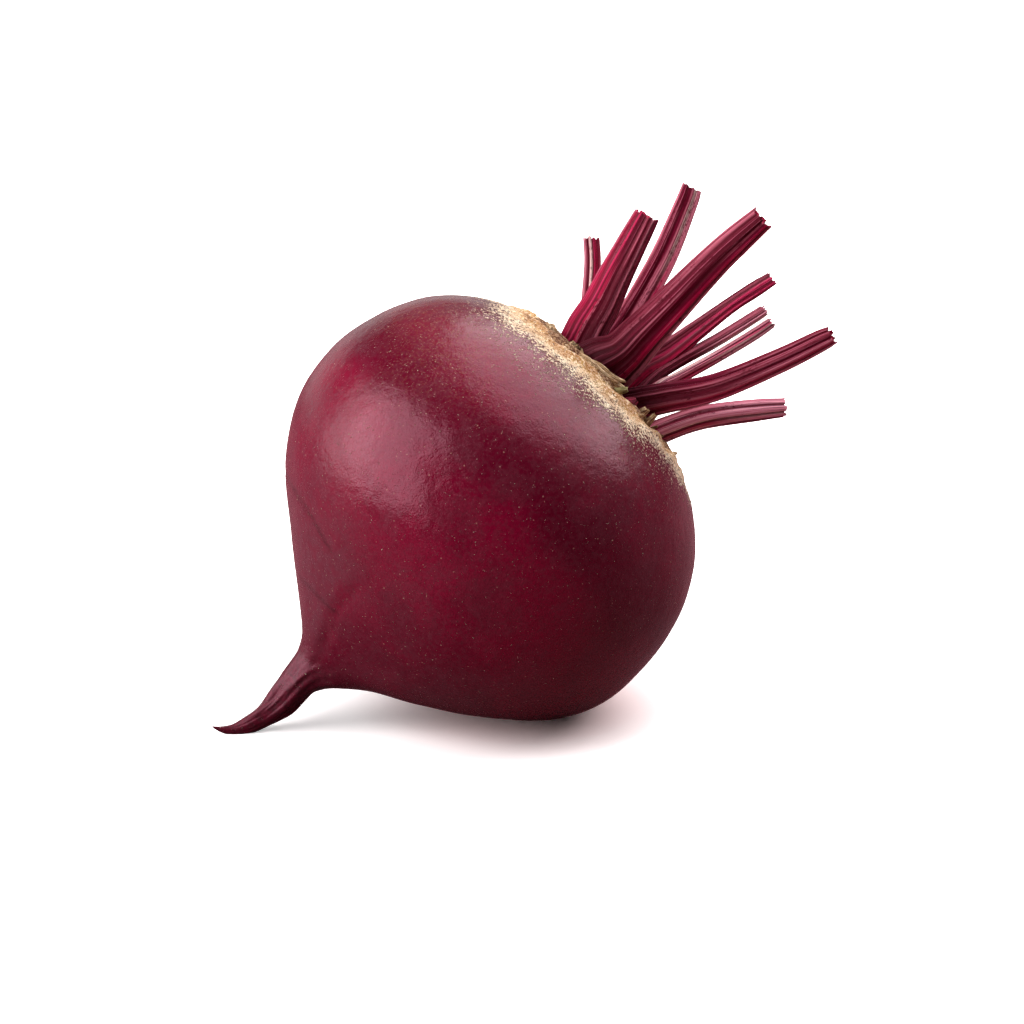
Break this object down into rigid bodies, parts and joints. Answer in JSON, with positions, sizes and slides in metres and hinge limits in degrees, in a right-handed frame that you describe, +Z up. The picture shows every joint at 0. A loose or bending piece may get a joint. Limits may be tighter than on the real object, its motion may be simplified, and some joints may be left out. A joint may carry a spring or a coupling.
{
  "type": "beetroot",
  "caption": "Whole beetroot lying on its side: round dark red root with a thin curled tail, corky crown and short-cut leaf stalks.",
  "frame": {"origin": "middle of the small flat under the body that the beetroot rests on", "axes": "+Z up from the surface it lies on; +X the level direction that the crown and stalks point to, with the tail towards -X; +Y across the root"},
  "size_m": [0.118, 0.085, 0.1],
  "materials": {
    "beet_skin": "satin",
    "leaf_stalk": "satin"
  },
  "bodies": {
    "root": {"root": "beet_skin", "stalk_1": "leaf_stalk", "stalk_2": "leaf_stalk", "stalk_3": "leaf_stalk", "stalk_4": "leaf_stalk", "stalk_5": "leaf_stalk", "stalk_6": "leaf_stalk", "stalk_7": "leaf_stalk", "stalk_8": "leaf_stalk", "stalk_9": "leaf_stalk"}
  },
  "joints": []
}
